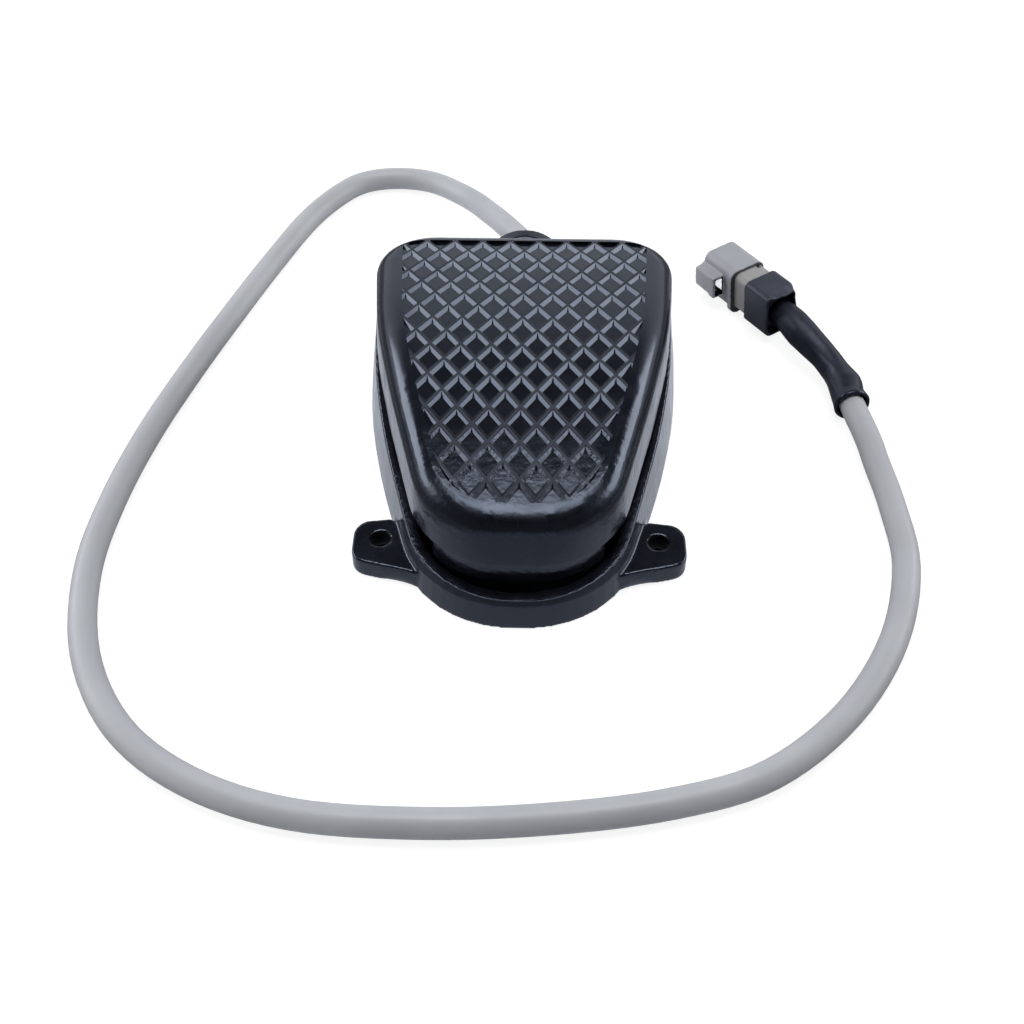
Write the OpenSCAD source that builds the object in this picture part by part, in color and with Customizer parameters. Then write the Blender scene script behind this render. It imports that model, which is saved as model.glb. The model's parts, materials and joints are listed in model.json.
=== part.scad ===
// Industrial foot switch: a cast base and a cast diamond-tread treadle hinged at the
// wide rear end, a snap-action switch worked by a lever, a return spring, and a short
// jacketed lead that ends in a two-way sealed receptacle.
//
// Axes: +X to the right, +Y from the toe to the rear wall, +Z up. The origin lies on the
// floor, under the middle of the casting's box. Millimetres.

/* [Base casting] */
// Length of the base from the toe to the rear wall
base_len = 138; // [132:1:165]
// Width of the base at the rear wall, before its corners are rounded
base_w = 103.2; // [98:0.2:124]
// Width at the hip, where the flanks turn nearly parallel
hip_w = 97.2; // [94:0.2:116]
// Distance of the hip from the toe
hip_at = 86; // [82:1:92]
// Width at the waist, where the flanks start to spread more slowly
waist_w = 85; // [82:1:90]
// Distance of the waist from the toe
waist_at = 55; // [50:1:60]
// Width of the toe, before its corners are rounded
toe_w = 53; // [48:1:58]
// Radius of the toe in plan
toe_r = 33; // [22:1:34]
// Radius of the two rear corners in plan
heel_r = 20; // [12:1:21]
// Thickness of the walls
wall = 3.5; // [3:0.1:4]
// Height of the floor's upper face
floor_top = 4.5; // [4:0.1:5]
// Height of the rim at the toe
rim_toe = 9.7; // [9:0.1:11]
// Height of the rim at the side walls' bend
rim_bend = 16.2; // [15:0.1:17.6]
// Distance of that bend from the toe
rim_bend_at = 45; // [40:1:50]
// Draft of the outer walls
draft = 7; // [3:0.5:8]

/* [Mounting ears] */
// Distance between the two bolt holes
ear_spacing = 80.4; // [78:0.1:84]
// Bolt holes, diameter
ear_bore = 5.7; // [4.5:0.1:6.5]
// Distance of the bolt holes from the toe
ear_at = 28; // [26:0.5:30]
// Width over both ears
ear_span = 96.4; // [94:0.2:104]
// Thickness of the ears
ear_t = 6.2; // [5:0.1:8]
// Distance of the ears' front edge from the toe
ear_front = 20; // [18:0.1:21]
// Distance of the ears' rear edge from the toe
ear_rear = 34.8; // [33:0.1:38]

/* [Lead outlet] */
// Diameter of the round boss on the rear wall
boss_d = 26; // [24:0.5:27]
// Height of the boss axis
boss_z = 20.6; // [20.2:0.1:20.8]
// Length of the boss behind the rear wall
boss_len = 5.5; // [4:0.5:14]

/* [Treadle] */
// Height of the crown of the treadle above the floor
crown_z = 43; // [42:0.5:48]
// Distance of the crown from the toe
crown_at = 76; // [70:1:82]
// Radius of the arch along the treadle
arch_r = 305; // [260:5:400]
// Thickness of the treadle's top
top_t = 5; // [4:0.1:5.5]
// Radius along the treadle's upper edge
edge_r = 7; // [4:0.5:7.5]
// Height of the skirt's lower edge at the toe
skirt_toe = 20.5; // [20:0.1:22]
// Height of the skirt's lower edge at the rear
skirt_heel = 27; // [26.6:0.1:28]
// Gap in plan between the two toes
toe_gap = 5; // [4.6:0.1:6.5]
// Setback of the treadle's toe corners
toe_setback = 0.9; // [0.5:0.1:3]
// Setback of the treadle's flanks at the waist
waist_setback = 3.9; // [3.4:0.1:5]
// Setback of the treadle's flanks at the hip
hip_setback = 3.2; // [2.4:0.1:4]
// Setback of the treadle's flanks at the rear
heel_setback = 1.4; // [0.6:0.1:2.4]
// Gap between the treadle's rear face and the boss
heel_gap = 0.9; // [0.6:0.1:1.4]
// Depth of the toe guard below the skirt's lower edge
guard_drop = 8.6; // [5:0.1:8.6]
// Setback of the toe guard behind the skirt
guard_step = 2; // [1.8:0.1:2.6]

/* [Diamond tread] */
// Margin between the casting's flanks and the border of the tread
flank_margin = 12.2; // [11:0.1:14]
// Width of one diamond cell
cell_w = 9; // [8:0.1:11]
// Length of one diamond cell
cell_l = 12.84; // [11:0.02:14]
// Width of the ridges between the pockets
ridge_w = 0.8; // [0.5:0.1:1.2]
// Depth of the pockets
pocket_d = 0.9; // [0.5:0.1:1.2]
// Horizontal run of the pockets' sloping walls
pocket_run = 0.95; // [0.4:0.05:1.1]

/* [Hinge and travel] */
// Travel of the treadle about its pin, degrees
travel = 3; // [2:0.1:3]
// Distance of the hinge pin from the toe
pin_at = 117; // [114:0.5:118]
// Height of the hinge pin
pin_z = 12.4; // [12:0.1:12.6]
// Hinge pin, diameter
pin_d = 6; // [5:0.1:6.4]
// Outer diameter of the hinge bushes
bush_d = 9; // [8:0.1:10]
// Thickness of the treadle's two hinge lugs
lug_t = 6; // [5:0.1:7]
// Radial running clearance of the pin in its bushes
run_gap = 0.05; // [0.03:0.01:0.08]
// Clearance of parts that are pushed or screwed together
fit_gap = 0.02; // [0.01:0.01:0.05]
// Gap left between parts that only rest on each other
rest_gap = 0.3; // [0.2:0.05:0.4]

/* [Return spring] */
// Distance of the spring from the toe
spring_at = 80; // [78:1:82]
// Outer diameter of the spring
spring_d = 18; // [14:0.5:18]
// Diameter of the spring wire
spring_wire = 2.2; // [1.5:0.1:2.4]
// Number of turns
spring_turns = 7; // [5:1:8]

/* [Switch] */
// Sideways place of the switch and of its adjusting screw
switch_x = -13; // [-14:0.5:-12.5]
// Length of the switch case
switch_l = 28; // [27:0.5:29]
// Width of the switch case
switch_w = 10; // [9:0.5:10.5]
// Height of the switch case
switch_h = 16; // [15:0.5:16.5]
// Distance of the switch case from the toe
switch_at = 33; // [32:0.5:34]
// Thickness of the bracket's sheet
sheet_t = 1.6; // [1.2:0.1:2]
// Distance of the adjusting screw from the toe
adjust_at = 34.5; // [34:0.5:36]
// Diameter of the adjusting screw
adjust_d = 5; // [4:0.5:5]

/* [Lead and connector] */
// Diameter of the jacketed lead
lead_d = 8; // [7:0.1:8]
// Diameter of the black sleeve behind the connector
sleeve_d = 10.6; // [9.6:0.1:11]
// Height of the connector's flange
flange_h = 17; // [16.4:0.1:18]
// Width of the connector's flange
flange_w = 14; // [13.4:0.1:15]
// Length of the mating shell in front of the flange
shell_l = 13.8; // [13:0.1:16]

/* [Hidden] */
$fn = 48;

black_paint = [0.09, 0.10, 0.13];
zinc = [0.72, 0.73, 0.75];
spring_steel = [0.55, 0.56, 0.58];
bronze = [0.72, 0.53, 0.30];
rubber_black = [0.12, 0.12, 0.13];
moulded_black = [0.16, 0.16, 0.18];
lead_grey = [0.70, 0.71, 0.73];
shell_grey = [0.58, 0.58, 0.60];

// ---- places along the length, all measured from the toe -------------------------
flange_len = 2.5;                      // bushing flange behind the boss
bushing_d = lead_d + 2.4;
overall_len = base_len + boss_len + flange_len;
boss_end = base_len + boss_len;
function from_toe(d) = d - overall_len / 2;

heel_at = base_len - heel_gap + 0.4;   // the treadle's rear face
tread_front = toe_gap + 8.5;           // the tread's first and last points
tread_back = base_len - 7.7;
rim_heel_at = base_len;                // the rim's last point
pin_y = from_toe(pin_at);

// ---- plan outlines --------------------------------------------------------------
function unit(v) = v / norm(v);

// Points of an arc of radius r that rounds the corner b between a and c
function corner_arc(a, b, c, r, steps) =
  let (u = unit(a - b), v = unit(c - b), half = acos(u * v) / 2,
       centre = b + unit(u + v) * r / sin(half),
       start = b + u * r / tan(half) - centre,
       stop = b + v * r / tan(half) - centre,
       a0 = atan2(start.y, start.x),
       turn = atan2(stop.y, stop.x) - a0,
       sweep = turn > 180 ? turn - 360 : turn < -180 ? turn + 360 : turn)
  [for (i = [0 : steps]) centre + r * [cos(a0 + sweep * i / steps), sin(a0 + sweep * i / steps)]];

// Right half of an outline, toe to heel, as rounded corners
function half_outline(toe, waist, hip, heel, toe_round, heel_round) =
  concat(corner_arc([0, toe.y], toe, waist, toe_round, 10),
         corner_arc(toe, waist, hip, 300, 3),
         corner_arc(waist, hip, heel, 200, 3),
         corner_arc(hip, heel, [0, heel.y], heel_round, 8));

// Both halves, as one loop that runs anticlockwise
function whole_outline(half) =
  concat(half, [for (i = [len(half) - 1 : -1 : 0]) [-half[i].x, half[i].y]]);

// A loop moved inwards by d
function inset(loop, d) =
  let (n = len(loop))
  [for (i = [0 : n - 1])
    let (t = unit(loop[(i + 1) % n] - loop[(i + n - 1) % n]))
    loop[i] + d * [-t.y, t.x]];

base_line = whole_outline(half_outline(
  [toe_w / 2, from_toe(0)], [waist_w / 2, from_toe(waist_at)],
  [hip_w / 2, from_toe(hip_at)], [base_w / 2, from_toe(base_len)], toe_r, heel_r));

treadle_line = whole_outline(half_outline(
  [toe_w / 2 - toe_setback, from_toe(toe_gap)],
  [waist_w / 2 - waist_setback, from_toe(waist_at)],
  [hip_w / 2 - hip_setback, from_toe(hip_at)],
  [base_w / 2 - heel_setback, from_toe(heel_at)], toe_r - 5, heel_r));

// Border of the tread
tread_line = whole_outline(half_outline(
  [toe_w / 2 - 8, from_toe(tread_front)],
  [waist_w / 2 - flank_margin, from_toe(waist_at)],
  [hip_w / 2 - flank_margin, from_toe(hip_at)],
  [base_w / 2 - flank_margin, from_toe(tread_back)], toe_r / 2, 5));

module plate(loop, z) {
  translate([0, 0, z]) linear_extrude(0.01) polygon(loop);
}

// A profile in the Y-Z plane, carried across the whole width
module across(profile, x0, x1) {
  translate([x0, 0, 0]) rotate([90, 0, 90]) linear_extrude(x1 - x0) polygon(profile);
}

// A cylinder along X, from x0 to x1
module bar_x(x0, x1, y, z, d) {
  translate([x0, y, z]) rotate([0, 90, 0]) cylinder(h = x1 - x0, d = d);
}

// A cylinder along Y, from y0 to y1
module bar_y(y0, y1, x, z, d) {
  translate([x, y1, z]) rotate([90, 0, 0]) cylinder(h = y1 - y0, d = d);
}

module mirrored() {
  children();
  mirror([1, 0, 0]) children();
}

// ---- tubes that follow a route --------------------------------------------------
// A smooth route through the points, each step cut into n
function smooth_route(p, n) =
  let (last = len(p) - 1)
  concat([for (i = [0 : last - 1], k = [0 : n - 1])
    let (a = p[max(i - 1, 0)], b = p[i], c = p[i + 1], d = p[min(i + 2, last)], t = k / n)
    0.5 * (2 * b + (c - a) * t + (2 * a - 5 * b + 4 * c - d) * t * t
           + (3 * b - a - 3 * c + d) * t * t * t)], [p[last]]);

function ring(centre, direction, r, sides) =
  let (side = unit(cross(direction, [0, 0, 1])), up = cross(side, direction))
  [for (k = [0 : sides - 1]) centre + r * (cos(360 * k / sides) * side + sin(360 * k / sides) * up)];

module tube(path, radii, sides) {
  last = len(path) - 1;
  points = [for (i = [0 : last])
    each ring(path[i], unit(path[min(i + 1, last)] - path[max(i - 1, 0)]), radii[i], sides)];
  walls = [for (i = [0 : last - 1], k = [0 : sides - 1])
    let (a = i * sides + k, b = i * sides + (k + 1) % sides)
    each [[a, a + sides, b], [b, a + sides, b + sides]]];
  caps = [[for (k = [0 : sides - 1]) k], [for (k = [sides - 1 : -1 : 0]) last * sides + k]];
  polyhedron(points, concat(walls, caps), convexity = 6);
}

function even(r, path) = [for (p = path) r];

// ---- base casting ---------------------------------------------------------------
wall_top = skirt_heel + 2;
rim_heel = skirt_heel - rest_gap - 0.05;
// half width of the base's outline at the hinge pin
pin_side = hip_w / 2 + (base_w - hip_w) / 2 * (pin_at - hip_at) / (base_len - hip_at);
pin_boss_in = pin_side - 6.98846;     // inner face of the base's pin bosses
lug_out = pin_boss_in - 3;            // outer face of the treadle's lugs
clamp_at = 104;                       // the lead's clamp, from the toe
clamp_w = 7;
lead_z = boss_z - 0.8;                // height of the lead in its clamp
clamp_top = lead_z - lead_d / 2;      // saddle that the lead lies on
stop_at = 22;
stop_x = 13;
stop_pad = 6.4;                       // height of the pads under the stop buffers
foot_hole_x = switch_x + switch_w / 2 + sheet_t + 7;
foot_holes = [switch_at + 6, switch_at + switch_l - 6];

// Material above the rim, taken off the flared shell
module above_rim() {
  across([[from_toe(-5), rim_toe], [from_toe(0), rim_toe],
          [from_toe(rim_bend_at), rim_bend], [from_toe(rim_heel_at), rim_heel],
          [from_toe(base_len + 5), rim_heel], [from_toe(base_len + 5), 60],
          [from_toe(-5), 60]], -80, 80);
}

// Solid with drafted flanks, d inside the casting's outer faces, from z0 upwards
module drafted(d, z0) {
  hull() {
    plate(inset(base_line, d + z0 * tan(draft)), z0);
    plate(inset(base_line, d + wall_top * tan(draft)), wall_top);
  }
}

module base_shell() {
  difference() {
    drafted(0, 0);
    above_rim();
  }
}

module ear() {
  reach = ear_span / 2;
  linear_extrude(ear_t) polygon(concat(
    [[toe_w / 2 - 4, from_toe(ear_front - 7.2)]],
    corner_arc([toe_w / 2 - 4, from_toe(ear_front - 7.2)], [reach, from_toe(ear_front)],
               [reach, from_toe(ear_rear)], 5, 6),
    corner_arc([reach, from_toe(ear_front)], [reach, from_toe(ear_rear)],
               [waist_w / 2 - 5, from_toe(ear_rear + 1.6)], 6, 6),
    [[waist_w / 2 - 5, from_toe(ear_rear + 1.6)]]));
}

module lead_boss() {
  difference() {
    bar_y(from_toe(base_len - wall), from_toe(boss_end), 0, boss_z, boss_d);
    translate([-20, from_toe(base_len - 10), rim_heel - 1])
      cube([40, 10 + 0.6, 30]);
  }
}

module base() {
  color(black_paint) difference() {
    union() {
      difference() {
        union() {
          base_shell();
          mirrored() ear();
        }
        drafted(wall, floor_top);
      }
      lead_boss();
      // hinge pin bosses on the inner faces of the side walls
      intersection() {
        mirrored() bar_x(pin_boss_in, base_w / 2, pin_y, pin_z, pin_d + 8);
        drafted(1, 0);
      }
      // cup that keeps the spring in place
      translate([0, from_toe(spring_at), floor_top - 1]) difference() {
        cylinder(h = 5, d = spring_d + 6);
        translate([0, 0, 1]) cylinder(h = 5, d = spring_d + 1);
      }
      // saddle block under the lead's clamp
      translate([-13, from_toe(clamp_at - clamp_w / 2 - 1), floor_top - 1])
        cube([26, clamp_w + 2, clamp_top - floor_top + 2]);
      // pads that the stop buffers land on
      mirrored() translate([stop_x, from_toe(stop_at), floor_top - 1])
        cylinder(h = stop_pad - floor_top + 1, d = 14);
    }
    // bolt holes
    mirrored() translate([ear_spacing / 2, from_toe(ear_at), -1])
      cylinder(h = ear_t + 2, d = ear_bore);
    // hinge pin
    bar_x(-80, 80, pin_y, pin_z, pin_d + 2 * fit_gap);
    // lead bushing
    bar_y(from_toe(base_len - 20), from_toe(overall_len + 5), 0, boss_z,
          bushing_d + 2 * fit_gap);
    // groove in the saddle
    bar_y(from_toe(clamp_at - 10), from_toe(clamp_at + 10), 0, lead_z, lead_d + 0.2);
    // tapped holes for the clamp and the bracket
    mirrored() translate([9, from_toe(clamp_at), clamp_top - 7]) cylinder(h = 12, d = 3);
    for (d = foot_holes) translate([foot_hole_x, from_toe(d), 1.8]) cylinder(h = 10, d = 4);
    // relief under the floor
    translate([0, 0, -1]) linear_extrude(2) polygon(inset(base_line, 8));
  }
}

// ---- treadle --------------------------------------------------------------------
function arch_z(y) =
  crown_z - arch_r + sqrt(arch_r * arch_r - pow(y - from_toe(crown_at), 2));
function arch_tilt(y) = -asin((y - from_toe(crown_at)) / arch_r);

skirt_draft = 1.1;
lug_y = pin_y;
lug_round = 14;

// Rounded cap of the upper edge
module dome(r) {
  rotate_extrude($fn = 24)
    polygon(concat([[0, 0]], [for (a = [0 : 15 : 90]) [r * cos(a), r * sin(a)]]));
}

module treadle_block() {
  hull() {
    plate(treadle_line, skirt_toe - 3);
    for (p = inset(treadle_line, skirt_draft + edge_r))
      translate([p.x, p.y, arch_z(p.y) - edge_r]) dome(edge_r);
  }
}

module treadle_hollow() {
  hull() {
    plate(inset(treadle_line, wall), -1);
    for (p = inset(treadle_line, wall + 3))
      translate([p.x, p.y, arch_z(p.y) - top_t - 3]) cylinder(h = 3, r = 2.4, $fn = 12);
  }
}

// Everything below the skirt's sloping lower edge
module below_skirt() {
  across([[from_toe(-5), -5], [from_toe(base_len + 10), -5],
          [from_toe(base_len + 10), skirt_heel], [from_toe(heel_at), skirt_heel],
          [from_toe(toe_gap), skirt_toe], [from_toe(-5), skirt_toe]], -80, 80);
}

// Lower, set-back tier around the nose that closes the gap behind the rim
module toe_guard() {
  intersection() {
    translate([0, 0, skirt_toe - guard_drop])
      linear_extrude(guard_drop + 2) polygon(inset(treadle_line, guard_step));
    translate([-60, from_toe(0), 0]) cube([120, toe_gap + 11.5, 60]);
  }
}

module tread_pocket() {
  // distance from a cell's centre to its sides
  reach = cell_w * cell_l / 2 / norm([cell_w, cell_l]);
  mouth = 1 - ridge_w / 2 / reach;
  bed = 1 - (ridge_w / 2 + pocket_run) / reach;
  over = 0.6;
  slope = (mouth - bed) / pocket_d;
  wide = mouth + slope * over;
  translate([0, 0, -pocket_d]) linear_extrude(pocket_d + over, scale = wide / bed)
    polygon(bed / 2 * [[cell_w, 0], [0, cell_l], [-cell_w, 0], [0, -cell_l]]);
}

module tread_pockets() {
  rows = ceil(base_len / cell_l);
  cols = ceil(base_w / cell_w / 2);
  intersection() {
    linear_extrude(crown_z + 5) polygon(tread_line);
    union() for (j = [0 : 2 * rows]) {
      y = from_toe(tread_front + 0.9 + j * cell_l / 2);
      half = (j % 2) / 2;
      for (i = [-cols : cols]) {
        x = (i + half) * cell_w;
        if (in_tread(x, y))
          translate([x, y, arch_z(y)]) rotate([arch_tilt(y), 0, 0]) tread_pocket();
      }
    }
  }
}

// True where a cell at x, y reaches into the tread's border
function in_tread(x, y) =
  y < from_toe(tread_back) + cell_l / 2 && abs(x) < tread_half(y + cell_l / 4) + cell_w / 2;
function tread_half(y) =
  lookup(y, [[from_toe(0), toe_w / 2], [from_toe(waist_at), waist_w / 2],
             [from_toe(hip_at), hip_w / 2], [from_toe(base_len), base_w / 2]]) - flank_margin;

module hinge_lug() {
  x0 = lug_out - lug_t;
  translate([x0, 0, 0]) rotate([90, 0, 90]) linear_extrude(lug_t) {
    translate([lug_y, pin_z]) circle(d = lug_round);
    translate([lug_y - lug_round / 2, pin_z]) square([lug_round, arch_z(lug_y) - top_t + 2 - pin_z]);
  }
}

screw_y = from_toe(adjust_at);
adjust_boss_z = arch_z(screw_y) - top_t - 2.6;
post_end = stop_pad + (pin_at - stop_at) * tan(travel) + rest_gap + 4;
guide_d = spring_d - 2 * spring_wire - 2;

module treadle() {
  color(black_paint) difference() {
    union() {
      difference() {
        union() {
          difference() {
            treadle_block();
            below_skirt();
          }
          toe_guard();
        }
        treadle_hollow();
      }
      mirrored() hinge_lug();
      // stiffening ribs under the top
      mirrored() translate([19, from_toe(38), crown_z - 12]) cube([3, 70, 7.6]);
      // boss for the adjusting screw
      translate([switch_x, screw_y, adjust_boss_z]) cylinder(h = 4.6, d = 12);
      // posts that carry the stop buffers
      mirrored() translate([stop_x, from_toe(stop_at), post_end])
        cylinder(h = arch_z(from_toe(stop_at)) - 2 - post_end, d = 9);
      // guide inside the spring
      translate([0, from_toe(spring_at), crown_z - top_t - 8]) cylinder(h = 10, d = guide_d);
    }
    mirrored() bar_x(lug_out - lug_t - 1, lug_out + 1, pin_y, pin_z, bush_d + 2 * fit_gap);
    translate([switch_x, screw_y, adjust_boss_z - 1])
      cylinder(h = 7, d = adjust_d + 2 * fit_gap);
    mirrored() translate([stop_x, from_toe(stop_at), post_end - 1]) cylinder(h = 6, d = 4);
    tread_pockets();
  }
}

// ---- hinge ----------------------------------------------------------------------
pin_half = pin_side - 2.18846;
washer_gap = 0.2;
washer_t = pin_boss_in - lug_out - 2 * washer_gap - 0.8;
clip_x = lug_out - lug_t - 2;

module hinge_pin() {
  color(zinc) difference() {
    bar_x(-pin_half, pin_half, pin_y, pin_z, pin_d);
    // grooves for the retaining clips
    mirrored() difference() {
      bar_x(clip_x - 0.5, clip_x + 0.5, pin_y, pin_z, pin_d + 2);
      bar_x(clip_x - 1, clip_x + 1, pin_y, pin_z, pin_d - 1.4);
    }
  }
}

module pin_clips() {
  color(spring_steel) mirrored() difference() {
    bar_x(clip_x - 0.4, clip_x + 0.4, pin_y, pin_z, pin_d + 5);
    bar_x(clip_x - 1, clip_x + 1, pin_y, pin_z, pin_d - 1.4 + 2 * fit_gap);
    translate([clip_x - 1, pin_y - 1.8, pin_z - 8]) cube([2, 3.6, 8]);
  }
}

module hinge_bushes() {
  flange_d = bush_d + 4;
  color(bronze) mirrored() difference() {
    union() {
      bar_x(lug_out - lug_t, lug_out, pin_y, pin_z, bush_d);
      bar_x(lug_out, lug_out + 0.8, pin_y, pin_z, flange_d);
    }
    bar_x(lug_out - lug_t - 1, lug_out + 2, pin_y, pin_z, pin_d + 2 * run_gap);
  }
}

module thrust_washers() {
  x0 = pin_boss_in - washer_gap - washer_t;
  color([0.85, 0.84, 0.80]) mirrored() difference() {
    bar_x(x0, x0 + washer_t, pin_y, pin_z, bush_d + 2);
    bar_x(x0 - 1, x0 + washer_t + 1, pin_y, pin_z, pin_d + 0.3);
  }
}

// ---- return spring and stops ----------------------------------------------------
spring_low = floor_top;
spring_high = arch_z(from_toe(spring_at)) - top_t - rest_gap;

// Helix with closed end coils
function coil(turns, r, z0, z1) =
  let (steps = turns * 12, closed = 12)
  [for (i = [0 : steps])
    let (rise = i < closed ? i / closed * spring_wire
         : i > steps - closed ? z1 - z0 - (steps - i) / closed * spring_wire
         : spring_wire + (i - closed) / (steps - 2 * closed) * (z1 - z0 - 2 * spring_wire))
    [r * cos(30 * i), r * sin(30 * i), z0 + rise]];

module return_spring() {
  path = coil(spring_turns, (spring_d - spring_wire) / 2, spring_low + spring_wire / 2,
              spring_high - spring_wire / 2);
  color(spring_steel) translate([0, from_toe(spring_at), 0])
    tube(path, even(spring_wire / 2, path), 8);
}

module stop_buffers() {
  color(rubber_black) mirrored() translate([stop_x, from_toe(stop_at), post_end]) {
    translate([0, 0, -4]) cylinder(h = 4, d = 9);
    cylinder(h = 4, d = 4 - 2 * fit_gap);
  }
}

// ---- switch ---------------------------------------------------------------------
case_low = floor_top + 0.5;
case_top = case_low + switch_h;
case_y0 = from_toe(switch_at);
case_y1 = case_y0 + switch_l;
case_x0 = switch_x - switch_w / 2;
case_x1 = switch_x + switch_w / 2;
cover_t = 1.6;
pivot_y = case_y1 - 3;
pivot_z = case_top + 2;
lever_tilt = 12;
plunger_y = pivot_y - 8;
screw_places = [[case_y0 + 3, case_low + 5], [case_y1 - 3, case_low + switch_h - 4]];
lever_len = pivot_y - screw_y + 3;
lever_t = 0.8;

module switch_bracket() {
  color(zinc) difference() {
    union() {
      translate([case_x1, case_y0, floor_top]) cube([sheet_t, switch_l, switch_h]);
      translate([case_x1, case_y0, floor_top]) cube([sheet_t + 12, switch_l, sheet_t]);
    }
    for (p = screw_places) bar_x(case_x1 - 1, case_x1 + 3, p.x, p.y, 3.2);
    for (d = foot_holes) translate([foot_hole_x, from_toe(d), 0]) cylinder(h = 10, d = 4.3);
  }
}

// Screw with a pan head and a cross recess, head on top, shank down
module pan_screw(d, l) {
  head_h = 0.62 * d;
  difference() {
    union() {
      translate([0, 0, -l]) cylinder(h = l, d = d);
      cylinder(h = head_h, d1 = 2 * d, d2 = 1.5 * d);
    }
    for (a = [0, 90]) rotate([0, 0, a])
      translate([-d / 2, -0.3, head_h - 0.3 * d]) cube([d, 0.6, d]);
  }
}

module bracket_screws() {
  color(zinc) for (d = foot_holes)
    translate([foot_hole_x, from_toe(d), floor_top + sheet_t]) pan_screw(4 - 2 * fit_gap, 4.2);
}

module switch_case() {
  color([0.13, 0.13, 0.14]) difference() {
    union() {
      translate([case_x0 + cover_t, case_y0, case_low]) cube([switch_w - cover_t, switch_l, switch_h]);
      // two cheeks that hold the lever's pin
      for (x = [case_x0 + cover_t, case_x1 - 1.4])
        translate([x, pivot_y - 2.2, case_top - 1]) cube([1.4, 4.4, 4.6]);
    }
    for (p = screw_places) bar_x(case_x0, case_x1 + 1, p.x, p.y, 3.2);
    translate([switch_x, plunger_y, case_top - 7]) cylinder(h = 9, d = 3.3);
    bar_x(case_x0, case_x1 + 1, pivot_y, pivot_z, 1.6 + 2 * fit_gap);
    for (z = blade_z) translate([switch_x - 0.42, case_y1 - 1.2, z - 2.42]) cube([0.84, 3, 4.84]);
  }
}

module switch_cover() {
  color([0.30, 0.08, 0.07]) difference() {
    translate([case_x0, case_y0, case_low]) cube([cover_t, switch_l, switch_h]);
    for (p = screw_places) bar_x(case_x0 - 1, case_x0 + 3, p.x, p.y, 3.2);
  }
}

module switch_screws() {
  length = switch_w + sheet_t + 3;
  color(zinc) for (p = screw_places)
    translate([case_x0, p.x, p.y]) rotate([0, -90, 0]) pan_screw(3, length);
}

module switch_nuts() {
  color(zinc) for (p = screw_places) translate([case_x1 + sheet_t, p.x, p.y])
    rotate([0, 90, 0]) difference() {
      cylinder(h = 2.4, d = 6.2, $fn = 6);
      translate([0, 0, -1]) cylinder(h = 5, d = 3 + 2 * fit_gap);
    }
}

module switch_plunger() {
  top = pivot_z + 8 * tan(lever_tilt) - 0.75;
  color([0.75, 0.12, 0.10]) translate([switch_x, plunger_y, case_top - 5]) {
    cylinder(h = top - case_top + 4.2, d = 3.1);
    translate([0, 0, top - case_top + 4.2]) cylinder(h = 0.8, d1 = 3.1, d2 = 1.8);
  }
}

// Lever strip, rising from its pin towards the toe
module actuator_lever() {
  width = switch_w - cover_t - 2 * 1.4 - 0.6;
  middle = (case_x0 + cover_t + case_x1) / 2;
  color(spring_steel) translate([middle, pivot_y, pivot_z]) rotate([-lever_tilt, 0, 0])
    difference() {
      union() {
        translate([-width / 2, -lever_len, 0]) cube([width, lever_len, lever_t]);
        bar_x(-width / 2, width / 2, 0, 0, 3.2);
      }
      bar_x(-width, width, 0, 0, 1.6 + 2 * run_gap);
    }
}

module lever_pin() {
  color(zinc) bar_x(case_x0 + cover_t, case_x1, pivot_y, pivot_z, 1.6);
}

// ---- wiring inside --------------------------------------------------------------
blade_z = [case_low + 3.2, case_low + switch_h - 3.2];
blade_end = case_y1 + 7;
crimp_end = blade_end + 6;

module blade_terminals() {
  color(bronze) for (z = blade_z)
    translate([switch_x - 0.4, case_y1 - 1.2, z - 2.4]) cube([0.8, 8.2, 4.8]);
}

module crimp_terminals() {
  color(zinc) for (z = blade_z) {
    difference() {
      translate([switch_x - 1.6, case_y1 + 0.6, z - 3.1]) cube([3.2, 7.4, 6.2]);
      translate([switch_x - 0.42, case_y1, z - 2.42]) cube([0.84, 7.02, 4.84]);
    }
    difference() {
      bar_y(case_y1 + 8, crimp_end, switch_x, z, 3.4);
      bar_y(crimp_end - 3, crimp_end + 1, switch_x, z, 2.1);
    }
  }
}

wire_d = 2;
// Routes of the two wires, from the crimp terminals back to the lead's cut end
tail_y = from_toe(98);
brown_route = [[switch_x, crimp_end - 2.8, blade_z[1]], [switch_x, crimp_end + 2, blade_z[1]],
               [-12.6, from_toe(82), 18], [-10, from_toe(89), 19], [-4, from_toe(93.6), lead_z],
               [-1.8, from_toe(95.6), lead_z], [-1.8, from_toe(97), lead_z],
               [-1.8, tail_y, lead_z]];
blue_route = [[switch_x, crimp_end - 2.8, blade_z[0]], [switch_x, crimp_end + 2, blade_z[0]],
              [-13.4, from_toe(82), 9.5], [-9, from_toe(90), 12.5], [0, from_toe(93), 16.5],
              [1.8, from_toe(95.6), lead_z], [1.8, from_toe(97), lead_z],
              [1.8, tail_y, lead_z]];

module wire(points) {
  path = smooth_route(points, 3);
  tube(path, even(wire_d / 2, path), 8);
}

module brown_wire() {
  color([0.36, 0.20, 0.12]) wire(brown_route);
}

module blue_wire() {
  color([0.10, 0.22, 0.55]) wire(blue_route);
}

lead_exit = from_toe(overall_len);
inner_points = [[0, tail_y, lead_z], [0, from_toe(clamp_at), lead_z],
                [0, from_toe(clamp_at + 6), lead_z], [0, from_toe(clamp_at + 16), boss_z],
                [0, from_toe(clamp_at + 22), boss_z], [0, from_toe(base_len), boss_z],
                [0, lead_exit, boss_z]];

module inner_lead() {
  path = smooth_route(inner_points, 2);
  color(lead_grey) tube(path, even(lead_d / 2, path), 12);
}

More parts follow.
